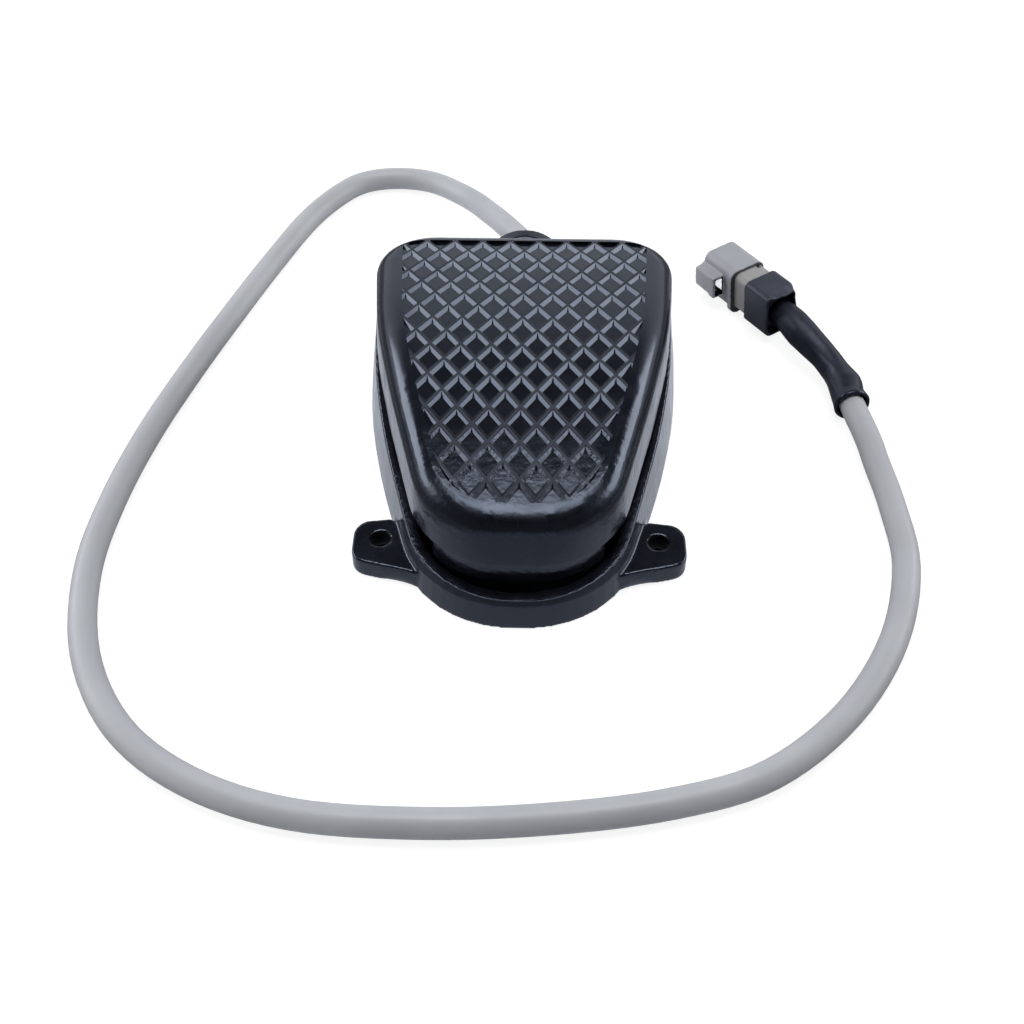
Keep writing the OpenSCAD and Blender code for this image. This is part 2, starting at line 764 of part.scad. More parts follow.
module lead_bushing() {
  bore = lead_d + 2 * fit_gap;
  color(rubber_black) difference() {
    union() {
      bar_y(from_toe(base_len - wall - 5), from_toe(boss_end), 0, boss_z, bushing_d);
      bar_y(from_toe(boss_end), lead_exit, 0, boss_z, lead_d + 9);
    }
    bar_y(from_toe(base_len - 20), lead_exit + 1, 0, boss_z, bore);
  }
}

module cable_clamp() {
  r = lead_d / 2 + 0.1;
  y0 = from_toe(clamp_at - clamp_w / 2);
  color(zinc) difference() {
    union() {
      intersection() {
        bar_y(y0, y0 + clamp_w, 0, lead_z, 2 * r + 2.4);
        translate([-20, y0 - 1, clamp_top + 1]) cube([40, clamp_w + 2, 20]);
      }
      translate([-13, y0, clamp_top + 1]) cube([26, clamp_w, 1.2]);
    }
    bar_y(y0 - 1, y0 + clamp_w + 1, 0, lead_z, 2 * r);
    mirrored() translate([9, from_toe(clamp_at), clamp_top - 1]) cylinder(h = 12, d = 3.3);
  }
}

module clamp_screws() {
  color(zinc) mirrored() translate([9, from_toe(clamp_at), clamp_top + 2.2])
    pan_screw(3 - 2 * fit_gap, 8);
}

module adjusting_screw() {
  tip = pivot_z + (pivot_y - screw_y) * tan(lever_tilt) + lever_t / cos(lever_tilt) + rest_gap;
  color(zinc) translate([switch_x, screw_y, 0]) {
    translate([0, 0, tip + 0.8]) cylinder(h = adjust_boss_z + 5 - tip - 0.8, d = adjust_d);
    translate([0, 0, tip]) cylinder(h = 0.8, d1 = adjust_d - 3, d2 = adjust_d);
  }
}

module lock_nut() {
  color(zinc) translate([switch_x, screw_y, adjust_boss_z - 3]) difference() {
    cylinder(h = 3, d = 9.2, $fn = 6);
    translate([0, 0, -1]) cylinder(h = 6, d = adjust_d + 2 * fit_gap);
  }
}

// ---- lead -----------------------------------------------------------------------
// Route of the lead on the floor, from the bushing round the casting to the sleeve
cable_route = [[0, lead_exit, boss_z], [0, 76, boss_z], [0, 79, boss_z], [-2, 84, 20.4],
               [-6, 92, 19], [-10, 102, 16], [-14, 112, 12.5], [-19, 123, 9], [-26, 133, 6.5],
               [-36, 142, 5], [-48, 146, 4], [-60, 144, 4], [-69, 137, 4], [-80, 119, 4],
               [-90, 92, 4], [-100, 61, 4], [-109, 31, 4], [-117, 0, 4], [-122, -30, 4],
               [-123, -58, 4], [-117, -87, 4], [-103, -111, 4], [-82, -127, 4], [-55, -136, 4],
               [-22, -138, 4], [10, -136, 4], [40, -131, 4], [65, -122, 4], [87, -103, 4],
               [103, -78, 4], [111, -51, 4], [111, -27, 4], [109, -9, 4.6], [108, -2, 5.6],
               [107, 4, 6], [106, 10, 6], [105, 16, 6]];

module cable() {
  path = smooth_route(cable_route, 2);
  color(lead_grey) tube(path, even(lead_d / 2, path), 10);
}

sleeve_route = [[105, 16, 6], [104.7, 17.8, 6], [104.4, 19.6, 6], [103.8, 26, 6],
                [102.2, 32.2, 6.2], [99.2, 38.4, 7], [95.9, 43.6, 7.9], [92.6, 48.4, 8.9],
                [90.4, 52.4, 9.6], [88.8, 55.3, 9.7], [87.4, 57.6, 9.5], [86, 59.9, 9.3]];
sleeve_widths = [1.06, 1.03, 0.99, 0.98, 0.89, 0.86, 0.92, 1.0, 0.97, 0.92, 0.88, 0.86];

module sleeve() {
  path = smooth_route(sleeve_route, 3);
  radii = [for (i = [0 : len(path) - 1])
    sleeve_d / 2 * lookup(i / 3, [for (k = [0 : len(sleeve_widths) - 1]) [k, sleeve_widths[k]]])];
  color(moulded_black) tube(path, radii, 12);
}

// ---- connector, in its own frame: mating face towards +X, sleeve end at the origin ---
// The connector rests on the flange, nose down and leaning to its latch side
plug_z = flange_h / 2 + 2.4;

module place_connector() {
  translate([86.8, 57, plug_z]) rotate([-4, 4, 121.6]) children();
}

// Rectangle with round corners, centred
module round_rect(w, h, r) {
  square([w - 2 * r, h], center = true);
  square([w, h - 2 * r], center = true);
  for (x = [-1, 1], y = [-1, 1]) translate([x * (w / 2 - r), y * (h / 2 - r)]) circle(r);
}

// Block along +X with a round-cornered section, w across and h high
module prism_x(x0, x1, w, h, r) {
  translate([x0, 0, 0]) rotate([90, 0, 90]) linear_extrude(x1 - x0) round_rect(w, h, r);
}

boot_l = 12.3;
boot_step = 3.1;                    // depth of the open recess behind
grey_l = 6.6;                       // body between boot and flange
flange_t = 2.2;
shell_w = flange_w - 0.6;
shell_h = flange_h - 1.2;
boot_w = shell_w + 0.2;
boot_h = shell_h + 0.2;
body_w = boot_w - 1.8;              // grey body between them
body_h = boot_h - 1.8;
flange_x = boot_l + grey_l;
mouth_x = flange_x + flange_t + shell_l;

module connector_boot() {
  color(moulded_black) place_connector() difference() {
    prism_x(0, boot_l, boot_w, boot_h, 2.4);
    prism_x(-1, boot_step, boot_w - 2, boot_h - 2, 1.6);
    prism_x(boot_step + 1.4, boot_l + 1, boot_w - 2.4, boot_h - 2.4, 1.6);
  }
}

module connector_shell() {
  bridge_l = 11;
  bridge_h = 8;
  bridge_z = -3.4;
  slot_w = 2.4;
  slot_v = shell_w / 2 + 0.8;
  color(shell_grey) place_connector() difference() {
    union() {
      prism_x(boot_step + 2, boot_l + 0.01, boot_w - 2.5, boot_h - 2.5, 1.5);
      prism_x(boot_l, flange_x, body_w, body_h, 2.4);
      translate([0, (flange_w - shell_w) / 2, (shell_h - flange_h) / 2])
        prism_x(flange_x, flange_x + flange_t, flange_w, flange_h, 3);
      prism_x(flange_x + flange_t, mouth_x, shell_w, shell_h, 3);
      // latch bridge on the side
      translate([mouth_x - bridge_l, shell_w / 2 - 1, bridge_z])
        cube([bridge_l, slot_v + slot_w + 1.2 - shell_w / 2 + 1, bridge_h]);
    }
    // mating cavity
    prism_x(mouth_x - 12, mouth_x + 1, shell_w - 2.6, shell_h - 2.6, 2);
    // chamber for the seal
    prism_x(boot_step + 1, boot_l + 2, boot_w - 4.7, boot_h - 4.7, 1.2);
    // bores for the contacts
    for (z = contact_z) bar_x(boot_l, mouth_x, 0, z, 2.4);
    // channel under the bridge, open below in front of a short lip
    translate([mouth_x - bridge_l - 1, slot_v, bridge_z + 1])
      cube([bridge_l + 2, slot_w, bridge_h - 2]);
    translate([mouth_x - bridge_l + 2.4, slot_v, bridge_z - 1])
      cube([bridge_l, slot_w, 3]);
    // notch for a mounting clip
    translate([flange_x - 1.6, -4.4, body_h / 2 - 1.2]) cube([1.6, 1.4, 2]);
  }
}

contact_z = [-3, 3];

module contact_pins() {
  color(zinc) place_connector() for (z = contact_z)
    bar_x(boot_l + 3, mouth_x - 5.2, 0, z, 1.5);
}

module wedge_lock() {
  color([0.85, 0.42, 0.12]) place_connector() difference() {
    prism_x(mouth_x - 12, mouth_x - 8.8, shell_w - 3.2, shell_h - 3.2, 1.7);
    for (z = contact_z) bar_x(boot_l, mouth_x, 0, z, 2.4);
  }
}

module rear_seal() {
  color([0.75, 0.33, 0.16]) place_connector()
    prism_x(boot_step + 2.2, boot_l - 0.4, boot_w - 4.8, boot_h - 4.8, 1.1);
}

base();
treadle();
hinge_pin();
pin_clips();
hinge_bushes();
thrust_washers();
return_spring();
stop_buffers();
switch_bracket();
bracket_screws();
switch_case();
switch_cover();
switch_screws();
switch_nuts();
switch_plunger();
actuator_lever();
lever_pin();
blade_terminals();
crimp_terminals();
brown_wire();
blue_wire();
adjusting_screw();
lock_nut();
cable_clamp();
clamp_screws();
lead_bushing();
inner_lead();
cable();
sleeve();
connector_boot();
connector_shell();
wedge_lock();
contact_pins();
rear_seal();
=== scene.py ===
"""Looks of the industrial foot switch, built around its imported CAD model.

Everything is in metres in the part's own frame: +Z up, +Y from the toe to the rear wall,
the floor at z = 0. The two castings, the return spring, the lead, its sleeve, the boot and
the receptacle's shell are made here and stand in for their CAD nodes. The other CAD nodes
keep their shape and get materials.
"""

import json
import math

import bmesh
import bpy
import numpy as np
from mathutils import Matrix, Vector, noise
from mathutils.bvhtree import BVHTree


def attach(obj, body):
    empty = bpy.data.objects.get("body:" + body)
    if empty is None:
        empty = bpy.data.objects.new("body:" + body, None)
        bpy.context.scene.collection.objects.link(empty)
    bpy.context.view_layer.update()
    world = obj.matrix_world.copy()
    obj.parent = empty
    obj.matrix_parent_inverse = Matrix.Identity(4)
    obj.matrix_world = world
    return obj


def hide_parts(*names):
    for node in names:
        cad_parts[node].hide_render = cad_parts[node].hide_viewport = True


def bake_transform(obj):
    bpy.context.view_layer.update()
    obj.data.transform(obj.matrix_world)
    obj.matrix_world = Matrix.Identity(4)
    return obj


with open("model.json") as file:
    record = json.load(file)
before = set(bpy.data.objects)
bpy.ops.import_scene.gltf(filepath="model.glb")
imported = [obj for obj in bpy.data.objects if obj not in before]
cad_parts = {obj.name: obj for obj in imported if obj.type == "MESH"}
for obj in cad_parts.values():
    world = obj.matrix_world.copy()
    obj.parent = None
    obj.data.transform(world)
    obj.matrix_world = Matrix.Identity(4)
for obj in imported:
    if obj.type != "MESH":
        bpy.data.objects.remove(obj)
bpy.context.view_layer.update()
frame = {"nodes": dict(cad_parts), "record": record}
NODES = frame["nodes"]
MM = 0.001
scene = bpy.context.scene

# ---- camera -------------------------------------------------------------------------------

FILM_WIDTH = 36.0                     # millimetres
CAMERA_LENS = 49.61                   # millimetres
CAMERA_PLACE = (0.003476, -0.32270, 0.30553)
CAMERA_TILT, CAMERA_PAN = 44.0, 1.15  # degrees

# ---- lead and sleeve, millimetres along their middles, as in the CAD source ----------------

LEAD_D = 0.008
LEAD_EXIT = (0.0, 73.0, 20.6)
LEAD_ROUTE = [
    LEAD_EXIT, (0, 76, 20.6), (0, 79, 20.6), (-2, 84, 20.4), (-6, 92, 19), (-10, 102, 16),
    (-14, 112, 12.5), (-19, 123, 9), (-26, 133, 6.5), (-36, 142, 5), (-48, 146, 4),
    (-60, 144, 4), (-69, 137, 4), (-80, 119, 4), (-90, 92, 4), (-100, 61, 4), (-109, 31, 4),
    (-117, 0, 4), (-122, -30, 4), (-123, -58, 4), (-117, -87, 4), (-103, -111, 4),
    (-82, -127, 4), (-55, -136, 4), (-22, -138, 4), (10, -136, 4), (40, -131, 4),
    (65, -122, 4), (87, -103, 4), (103, -78, 4), (111, -51, 4), (111, -27, 4),
    (109, -9, 4.6), (108, -2, 5.6), (107, 4, 6), (106, 10, 6), (105, 16, 6)]
LEAD_STEPS = 6                        # points on each stretch between two route points
LEAD_TUCK = 0.0015                    # how far the lead runs on into the sleeve

SLEEVE_D = 0.0106
SLEEVE_ROUTE = [
    (105, 16, 6), (104.7, 17.8, 6), (104.4, 19.6, 6), (103.8, 26, 6), (102.2, 32.2, 6.2),
    (99.2, 38.4, 7), (95.9, 43.6, 7.9), (92.6, 48.4, 8.9), (90.4, 52.4, 9.6),
    (88.8, 55.3, 9.7), (87.4, 57.6, 9.5), (86, 59.9, 9.3)]
SLEEVE_STEPS = 4
SLEEVE_SIDES = 48
SLEEVE_RING = 0.0005                  # distance between the sleeve's rings
SLEEVE_START = 0.0032                 # where the sleeve proper starts, behind its lip
# the sleeve's width at each route point, as a share of its diameter
SLEEVE_WIDTHS = [1.06, 1.03, 0.99, 0.98, 0.89, 0.86, 0.92, 1.0, 0.97, 0.92, 0.88, 0.86]
# distance along the sleeve and radius, from inside the rolled lip to its outside
SLEEVE_LIP = [(0.0040, 0.00406), (0.0012, 0.0044), (0.0002, 0.00470), (-0.0004, 0.00505),
              (-0.0003, 0.00555), (0.0003, 0.00580), (0.0012, 0.00565), (0.0022, 0.00548)]

# ---- castings -----------------------------------------------------------------------------

BASE_VOXEL, BASE_VOXEL_QUICK = 0.00040, 0.0009
BASE_ROUNDS = 9
EAR_HOLE = (0.0402, -0.0450)          # |X| and Y of the bolt holes
EAR_HOLE_REACH = 0.0032               # radius round the bore's wall and its rounded edge, which get painted shade
EAR_TOP = 0.0066                      # just above the ears' top face
EAR_CORNERS = ((0.0335, -0.0530), (0.0385, -0.0382))  # |X| and Y where they meet the base
EAR_ROUNDS = 160
RIM_LOW, RIM_BACK = 0.0070, -0.030    # the toe's rim lies above this Z, in front of this Y
WELD = 0.000002
FLAT_ANGLE, EDGE_ANGLE = 0.4, 24      # degrees: one face up to the first, an edge from the next

TREAD_CELL = (0.0090, 0.01284)        # width and length of a diamond
TREAD_START = -0.0586                 # Y of the first row of cells
TREAD_CREST = 0.0008                  # width of the flat crests
TREAD_Y = (-0.060, 0.058)
# the tread's half width in metres, over Y from the toe, 0, to the heel, 1
TREAD_HALF = [(0.0, 0.0), (0.004, 0.006), (0.025, 0.0125), (0.06, 0.0172), (0.10, 0.0214),
              (0.144, 0.0238), (0.356, 0.0303), (0.619, 0.0364), (0.95, 0.0390),
              (0.99, 0.0350), (1.0, 0.0)]
TREAD_HALF_SCALE = 20.0               # a ramp holds 0 to 1, so the half widths are scaled

# ---- connector ----------------------------------------------------------------------------

PLUG_PLACE = (0.0868, 0.0570, 0.0109)
PLUG_TURNS = ((121.6, "Z"), (4.0, "Y"), (-4.0, "X"))  # degrees, and round which axis
PLUG_VOXEL = 0.00025
BOOT_ROUNDS, SHELL_ROUNDS = 5, 4

# ---- studio -------------------------------------------------------------------------------

FLOOR_REACH = 4.0                     # half a side
FLOOR_DROP = 0.00002
FLOOR_COLOUR = 0.82                   # what it bounces on the switch
FLOOR_GLOW, FLOOR_SHADE = 0.85, 0.34  # what the camera sees of it: even light, and shadow
BACKDROP = 0.90
# painted reflection: brightness of the mirrored floor, with painted shade in front of the
# switch, over Y from the first value to the second
MIRROR_Y = (-0.15, 0.05)
MIRROR_LEVELS = [(0.0, 0.40), (0.24, 0.34), (0.32, 0.46), (0.40, 0.52), (0.46, 0.52),
                 (0.575, 0.74), (1.0, 0.74)]
MIRROR_TINT = (0.93, 0.98, 1.10)
MIRROR_SIDES = (0.057, 0.066, 1.0, 0.22)  # painted reflection, dimmer from the first |X| to the second
# brightness of the room over the sine of the height, from the horizon to straight up
ROOM_LEVELS = [(0.0, 0.66), (0.54, 0.68), (0.61, 0.33), (0.67, 0.08), (0.88, 0.08),
               (1.0, 0.3)]
ROOM_TINT = (0.93, 0.97, 1.05)
ROOM_FRONT = (-0.45, 0.25, 0.10, 1.0)     # darker in front of the switch than behind it
LAMP_TINT = (0.97, 0.985, 1.0)
# name, place, width, height, radiance, and whether it shows in reflections
LAMPS = [("softbox_top", (0.0, 0.10, 1.22), 0.85, 0.60, 5.0, True),
         ("softbox_left", (-1.06, 0.30, 0.55), 1.05, 0.50, 3.4, True),
         ("softbox_right", (1.06, 0.30, 0.55), 1.05, 0.50, 3.4, True),
         ("fill_front", (-1.2, -0.6, 0.7), 0.8, 0.6, 2.8, False)]


def link(obj):
    scene.collection.objects.link(obj)
    return obj


def make_camera():
    data = bpy.data.cameras.new("camera")
    data.sensor_width = FILM_WIDTH
    data.lens = CAMERA_LENS
    data.clip_start, data.clip_end = 0.01, 50.0
    camera = link(bpy.data.objects.new("camera", data))
    camera.location = CAMERA_PLACE
    camera.rotation_euler = (math.radians(CAMERA_TILT), 0.0, math.radians(CAMERA_PAN))
    scene.camera = camera


# ---- curves -------------------------------------------------------------------------------

def smooth_route(points, steps):
    """Points on a smooth curve through the given ones, as the CAD source has them."""
    p = [Vector(q) * MM for q in points]
    last = len(p) - 1
    made = []
    for i in range(last):
        a, b, c, d = p[max(i - 1, 0)], p[i], p[i + 1], p[min(i + 2, last)]
        for k in range(steps):
            t = k / steps
            made.append(0.5 * (2 * b + (c - a) * t + (2 * a - 5 * b + 4 * c - d) * t * t
                               + (3 * b - a - 3 * c + d) * t * t * t))
    return made + [p[last]]


def distances(path):
    """How far each point lies from the first, along the path."""
    total = [0.0]
    for a, b in zip(path, path[1:]):
        total.append(total[-1] + (b - a).length)
    return total


def turns(count):
    """Angles once round, in equal steps."""
    return [2 * math.pi * k / count for k in range(count)]


# ---- node trees ---------------------------------------------------------------------------

class Graph:
    """A node tree, emptied and then filled node by node."""

    def __init__(self, tree):
        self.tree = tree
        self.tree.nodes.clear()

    def add(self, kind, **values):
        node = self.tree.nodes.new(kind)
        for key, value in values.items():
            setattr(node, key, value)
        return node

    def join(self, a, out, b, into):
        self.tree.links.new(a.outputs[out], b.inputs[into])

    def math(self, operation, *values, clamp=False):
        """A math node; each value is a number, a node, or a node with an output's name."""
        m = self.add("ShaderNodeMath", operation=operation, use_clamp=clamp)
        for i, value in enumerate(values):
            if isinstance(value, (int, float)):
                m.inputs[i].default_value = value
            elif isinstance(value, tuple):
                self.join(value[0], value[1], m, i)
            else:
                self.join(value, 0, m, i)
        return m

    def remap(self, source, out, start, end, low=0.0, high=1.0, kind="LINEAR"):
        """low..high as the source's output runs from start to end."""
        m = self.add("ShaderNodeMapRange", interpolation_type=kind)
        for key, value in (("From Min", start), ("From Max", end), ("To Min", low),
                           ("To Max", high)):
            m.inputs[key].default_value = value
        self.join(source, out, m, "Value")
        return m

    def ramp(self, source, out, stops):
        """Colours over the source's 0..1 output; each stop is a position and a colour."""
        node = self.add("ShaderNodeValToRGB")
        elements = node.color_ramp.elements
        while len(elements) < len(stops):
            elements.new(0.5)
        for element, (at, colour) in zip(elements, stops):
            element.position = at
            element.color = (*colour, 1.0)
        self.join(source, out, node, 0)
        return node

    def mix(self, factor, out, first, second):
        node = self.add("ShaderNodeMixShader")
        self.join(factor, out, node, 0)
        self.join(first, 0, node, 1)
        self.join(second, 0, node, 2)
        return node


def levels(stops, tint=(1, 1, 1)):
    """Ramp stops in shades of one tint."""
    return [(at, tuple(value * t for t in tint)) for at, value in stops]


class Shader(Graph):
    """A Principled material whose colour, roughness and surface come from noise nodes."""

    def __init__(self, name, metallic=0.0, ior=1.5):
        self.material = bpy.data.materials.new(name)
        self.material.use_nodes = True
        super().__init__(self.material.node_tree)
        self.bsdf = self.add("ShaderNodeBsdfPrincipled")
        self.join(self.bsdf, 0, self.add("ShaderNodeOutputMaterial"), 0)
        self.bsdf.inputs["Metallic"].default_value = metallic
        self.bsdf.inputs["IOR"].default_value = ior
        self.bsdf.inputs["Coat Weight"].default_value = 0.0
        self.place = self.add("ShaderNodeTexCoord")
        self.normal = None

    def tint(self, colour):
        self.bsdf.inputs["Specular Tint"].default_value = (*colour, 1.0)

    def noise(self, scale, detail=2.0):
        """Noise in the part's own metres; scale is in features per metre."""
        tex = self.add("ShaderNodeTexNoise")
        tex.inputs["Scale"].default_value = scale
        tex.inputs["Detail"].default_value = detail
        self.join(self.place, "Object", tex, "Vector")
        return tex

    def spread(self, source, low, high, a=0.3, b=0.7):
        """Maps a texture, between its values a and b, to low..high."""
        return self.remap(source, 0, a, b, low, high)

    def split(self, vector):
        """The X, Y and Z of the part's own coordinates, "Object", or of its "Normal"."""
        node = self.add("ShaderNodeSeparateXYZ")
        self.join(self.place, vector, node, 0)
        return node

    def along(self, axis, start, end, low=0.0, high=1.0, vector="Object"):
        """low..high, eased, as the part's own coordinate runs from start to end."""
        return self.remap(self.split(vector), axis, start, end, low, high, "SMOOTHSTEP")

    def multiply(self, a, b):
        return self.math("MULTIPLY", a, b)

    def colour(self, first, second, source, a=0.35, b=0.65):
        self.join(self.ramp(source, 0, [(a, first), (b, second)]), 0, self.bsdf, "Base Color")

    def rough(self, source):
        self.join(source, 0, self.bsdf, "Roughness")

    def bump(self, source, height, strength=1.0):
        """height is in metres; strength is a number or a node."""
        node = self.add("ShaderNodeBump")
        node.inputs["Distance"].default_value = height
        if isinstance(strength, float):
            node.inputs["Strength"].default_value = strength
        else:
            self.join(strength, 0, node, "Strength")
        self.join(source, 0, node, "Height")
        if self.normal:
            self.join(self.normal, 0, node, "Normal")
        self.join(node, 0, self.bsdf, "Normal")
        self.normal = node


# ---- materials ----------------------------------------------------------------------------

def tread_crests(s):
    """1 on the flat crests between the tread's diamonds, 0 elsewhere."""
    place = s.split("Object")
    wide, long = TREAD_CELL
    across = s.math("DIVIDE", (place, "X"), wide)
    forward = s.math("DIVIDE", s.math("SUBTRACT", (place, "Y"), TREAD_START), long)
    lines = []
    for operation in ("ADD", "SUBTRACT"):
        cell = s.math("FRACT", s.math(operation, across, forward))
        lines.append(s.math("ABSOLUTE", s.math("SUBTRACT", cell, 0.5)))
    edge = TREAD_CREST / 2 * math.hypot(wide, long) / (wide * long)
    crest = s.spread(s.math("MINIMUM", *lines), 1.0, 0.0, edge * 0.85, edge * 1.1)
    # only within the tread's border, and only on top of the treadle
    scaled = levels([(at, half * TREAD_HALF_SCALE) for at, half in TREAD_HALF])
    border = s.ramp(s.remap(place, "Y", *TREAD_Y), 0, scaled)
    over = s.math("SUBTRACT", s.math("ABSOLUTE", (place, "X")),
                  s.math("DIVIDE", border, TREAD_HALF_SCALE))
    inside = s.spread(over, 1.0, 0.0, -0.0004, 0.0002)
    return s.multiply(crest, s.multiply(inside, s.along("Z", 0.0300, 0.0310)))


def enamel():
    """Thick gloss black paint over a cast skin: orange peel, coarser towards the toe."""
    s = Shader("cast_paint", ior=1.70)
    s.tint((0.70, 0.79, 1.0))
    s.colour((0.0030, 0.0036, 0.0062), (0.0056, 0.0066, 0.0105), s.noise(90, 3))
    # duller where shoes rub: the rim's edge round the toe, the tread's crests, the toe's lip
    rim = s.multiply(s.along("Y", -0.040, -0.050), s.multiply(
        s.along("Z", 0.0076, 0.0086), s.along("Z", 0.0116, 0.0108)))
    rim = s.multiply(rim, s.along("Z", 0.93, 0.975, 1.0, 0.0, "Normal"))
    lip = s.multiply(s.along("Y", -0.046, -0.056), s.along("Z", 0.0290, 0.0310))
    dull = s.spread(s.noise(160, 3), 0.12, 0.22)
    for rubbed, amount in ((rim, 0.60), (tread_crests(s), 0.45), (lip, 0.12)):
        dull = s.math("MULTIPLY_ADD", rubbed, amount, dull)
    s.rough(dull)
    s.bump(s.noise(470), 0.00011, s.along("Y", -0.010, -0.045, 0.12, 1.0))
    s.bump(s.noise(1500), 0.000010)
    return s.material


def plastic(name, dark, light, low, high, grain=2500.0, height=0.00001, scale=120.0):
    s = Shader(name)
    s.colour(dark, light, s.noise(scale, 3))
    s.rough(s.spread(s.noise(scale * 2.2, 3), low, high))
    s.bump(s.noise(grain), height)
    return s.material


def principled(material):
    return next(n for n in material.node_tree.nodes if n.type == "BSDF_PRINCIPLED")


def paint_glow(material, strength):
    """Adds a painted glow: emission that stands in for the light seen in the latch window."""
    bsdf = principled(material)
    bsdf.inputs["Emission Color"].default_value = (0.93, 0.95, 1.0, 1.0)
    bsdf.inputs["Emission Strength"].default_value = strength


def paint_shade(material):
    """Painted shade: takes the shine off, so that a deep bore or slot reads dark."""
    principled(material).inputs["Specular IOR Level"].default_value = 0.05


def metal(name, dark, light, low, high):
    s = Shader(name, metallic=1.0)
    s.colour(dark, light, s.noise(150, 4))
    s.rough(s.spread(s.noise(300, 3), low, high))
    s.bump(s.noise(1800), 0.000006)
    return s.material


def jacket():
    """Semi-matt PVC with faint handling marks."""
    s = Shader("lead_grey")
    s.colour((0.430, 0.437, 0.458), (0.472, 0.480, 0.500), s.noise(45, 3))
    s.rough(s.spread(s.noise(220, 3), 0.36, 0.50))
    s.bump(s.noise(900, 3), 0.00002)
    return s.material


def black_rubber(name, dark, light, low, high, duller=0.0):
    """Shrunk or moulded rubber, duller towards the connector."""
    s = Shader(name)
    s.tint((0.72, 0.81, 1.0))
    s.colour(dark, light, s.noise(130, 3))
    s.rough(s.math("ADD", s.along("Y", 0.022, 0.044, 0.0, duller),
                   s.spread(s.noise(260, 3), low, high)))
    s.bump(s.noise(330), 0.00006)
    s.bump(s.noise(2200), 0.00001)
    return s.material


def make_materials():
    """Every slot's material, by the slot's name."""
    made = {"cast_paint": enamel(), "lead_grey": jacket()}
    # name, darkest and lightest colour, least and most roughness, then the kind's own values
    for kind, name, *looks in [
            (metal, "zinc", (0.55, 0.56, 0.58), (0.74, 0.75, 0.77), 0.22, 0.38),
            (metal, "spring_steel", (0.28, 0.29, 0.31), (0.46, 0.47, 0.50), 0.22, 0.40),
            (metal, "bronze", (0.50, 0.34, 0.16), (0.68, 0.50, 0.26), 0.30, 0.48),
            (plastic, "nylon", (0.70, 0.69, 0.64), (0.80, 0.79, 0.75), 0.38, 0.5),
            (plastic, "rubber", (0.016, 0.016, 0.019), (0.030, 0.030, 0.034), 0.42, 0.62,
             1400, 0.00002),
            (plastic, "case_black", (0.030, 0.030, 0.034), (0.046, 0.046, 0.050), 0.32, 0.48),
            (plastic, "cover_red", (0.20, 0.045, 0.04), (0.27, 0.065, 0.055), 0.35, 0.5),
            (plastic, "plunger_red", (0.50, 0.03, 0.03), (0.6, 0.05, 0.04), 0.18, 0.3),
            (plastic, "wire_brown", (0.12, 0.055, 0.03), (0.16, 0.075, 0.04), 0.25, 0.4),
            (plastic, "wire_blue", (0.03, 0.09, 0.33), (0.045, 0.12, 0.4), 0.25, 0.4),
            (black_rubber, "sleeve_black", (0.0070, 0.0085, 0.0145),
             (0.0130, 0.0150, 0.0240), 0.22, 0.36, 0.18),
            (black_rubber, "boot_black", (0.026, 0.029, 0.040), (0.040, 0.044, 0.058),
             0.34, 0.50),
            (plastic, "shell_grey", (0.330, 0.335, 0.360), (0.375, 0.380, 0.405), 0.40, 0.55,
             1700, 0.000018, 60),
            (plastic, "shell_neck", (0.315, 0.305, 0.300), (0.355, 0.345, 0.335), 0.42, 0.55,
             1700, 0.000018, 60),
            # painted shade: dark grey for the step behind the collar
            (plastic, "shell_shade", (0.050, 0.051, 0.056), (0.070, 0.071, 0.077), 0.5, 0.65,
             1700, 0.00001, 60),
            # painted shade: near-black and shineless, for the ears' bores and the latch
            # window's walls
            (plastic, "slot_painted_shade", (0.004, 0.0045, 0.006), (0.008, 0.009, 0.011), 0.6, 0.8),
            # painted glow: near-white and emitting, for the floor of the latch window
            (plastic, "slot_painted_glow", (0.90, 0.92, 0.96), (0.96, 0.97, 0.99), 0.3, 0.4),
            (plastic, "wedge_orange", (0.62, 0.17, 0.02), (0.72, 0.22, 0.035), 0.3, 0.42),
            (plastic, "seal_orange", (0.45, 0.12, 0.03), (0.55, 0.16, 0.05), 0.45, 0.6)]:
        made[name] = kind(name, *looks)
    # painted shade: no shine on the near-black bores and slots
    paint_shade(made["slot_painted_shade"])
    # painted glow on the latch window's floor
    paint_glow(made["slot_painted_glow"], 0.75)
    return made


# ---- meshes -------------------------------------------------------------------------------

def copied(name, node):
    """A new object with a CAD node's mesh, without its materials."""
    mesh = NODES[node].data.copy()
    mesh.name = name
    mesh.materials.clear()
    return link(bpy.data.objects.new(name, mesh))


def apply_modifiers(obj):
    graph = bpy.context.evaluated_depsgraph_get()
    mesh = bpy.data.meshes.new_from_object(obj.evaluated_get(graph))
    obj.modifiers.clear()
    obj.data = mesh


def read(items, attribute, width=3, kind=float):
    """An attribute of a mesh's points, edges or faces, one row for each."""
    values = np.empty(len(items) * width, dtype=kind)
    items.foreach_get(attribute, values)
    return values.reshape(-1, width)


def read_points(mesh):
    return read(mesh.vertices, "co")


def write_points(mesh, co):
    mesh.vertices.foreach_set("co", co.reshape(-1).astype(np.float32))
    mesh.update()


def falloff(distance, inner, outer):
    """1 within inner, 0 beyond outer, smooth between."""
    t = np.clip((outer - distance) / (outer - inner), 0, 1)
    return t * t * (3 - 2 * t)


